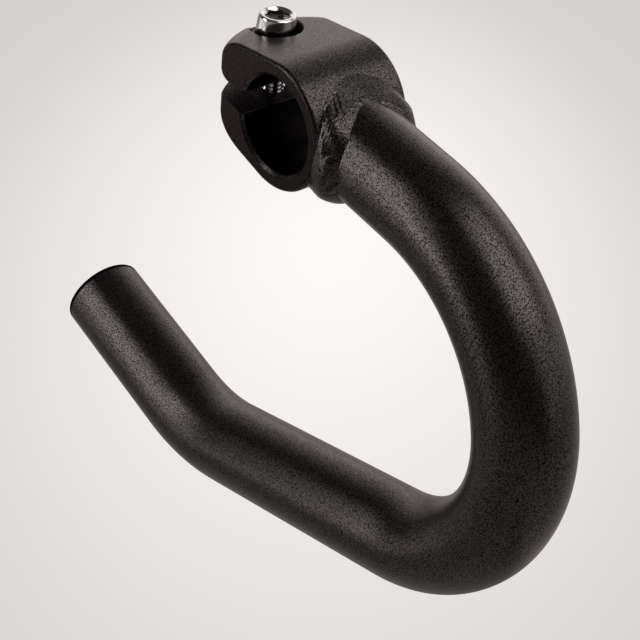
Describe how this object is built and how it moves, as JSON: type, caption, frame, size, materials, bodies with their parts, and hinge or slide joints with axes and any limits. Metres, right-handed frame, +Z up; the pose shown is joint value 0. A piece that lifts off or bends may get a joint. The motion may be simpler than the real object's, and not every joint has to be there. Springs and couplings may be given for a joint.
{
  "type": "bicycle bar end",
  "caption": "Drop-style bar end: split clamp for a straight handlebar's end, with a tube bent forward, down and back to a plugged grip.",
  "frame": {"origin": "centre of the clamp's bore, halfway along it", "axes": "+X along the bore towards its outward-facing end, +Y forward, where the tube leaves the clamp, +Z up along the clamp bolt"},
  "size_m": [0.035, 0.1615, 0.1295],
  "materials": {
    "black_anodised_paint": "satin black over bead-blasted aluminium",
    "black_plastic": "matte moulded",
    "bright_steel": "bright plated"
  },
  "bodies": {
    "bar_end": {"clamp": "black_anodised_paint", "drop_tube": "black_anodised_paint", "weld_bead": "black_anodised_paint", "end_plug": "black_plastic"},
    "bolt": {"clamp_bolt": "bright_steel"}
  },
  "joints": [
    {"name": "clamp_bolt_turn", "type": "hinge", "parent": "bar_end", "child": "bolt", "pos_m": [0, -0.0167, 0.0104], "axis": [0, 0, 1], "continuous": true}
  ]
}
